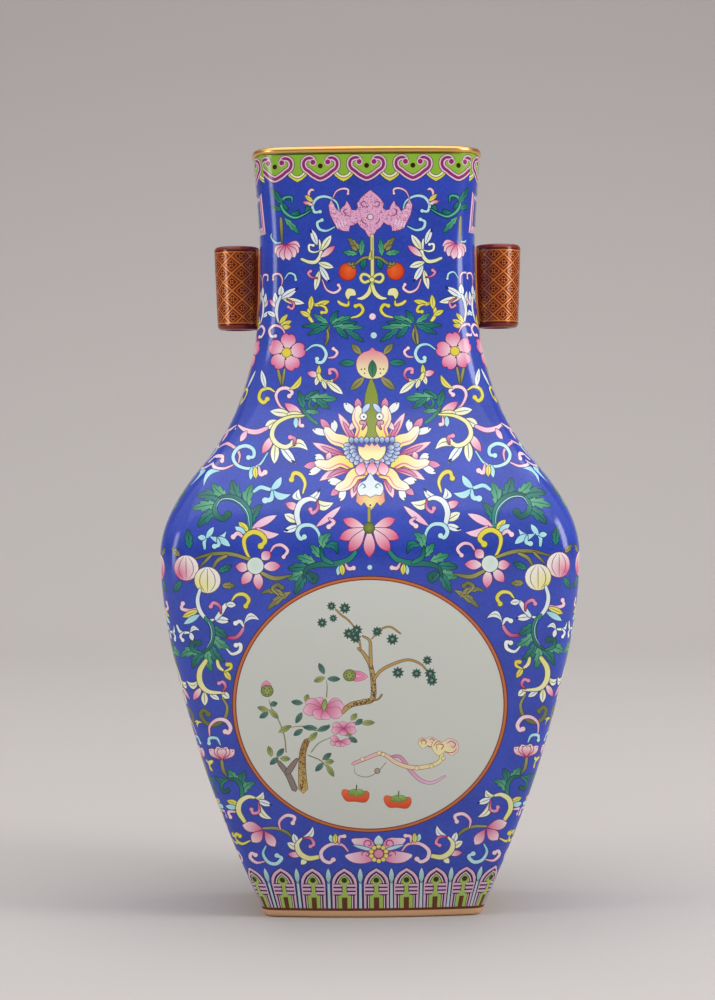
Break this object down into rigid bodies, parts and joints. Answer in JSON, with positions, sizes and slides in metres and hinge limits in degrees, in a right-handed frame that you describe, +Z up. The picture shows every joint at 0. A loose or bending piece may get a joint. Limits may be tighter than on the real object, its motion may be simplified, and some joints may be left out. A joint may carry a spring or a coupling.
{
  "type": "porcelain vase",
  "caption": "Tall porcelain vase of rounded rectangular section with a wide shoulder, a straight neck and a tubular handle on each side, painted in overglaze enamels.",
  "frame": {"origin": "middle of the underside, on the surface that the vase stands on", "axes": "+Z up through the mouth, +X towards the right-hand handle, the main painted face towards -Y"},
  "size_m": [0.1648, 0.136, 0.302],
  "materials": {
    "enamelled_porcelain": "glossy clear glaze under deep blue ground enamel, painted all over in soft overglaze colours",
    "clear_glaze": "glossy pale glaze on white porcelain, inside and under the foot",
    "gilding": "thin fired gold, softly worn, on the lip and the foot"
  },
  "bodies": {
    "root": {"vase": "enamelled_porcelain"}
  },
  "joints": []
}
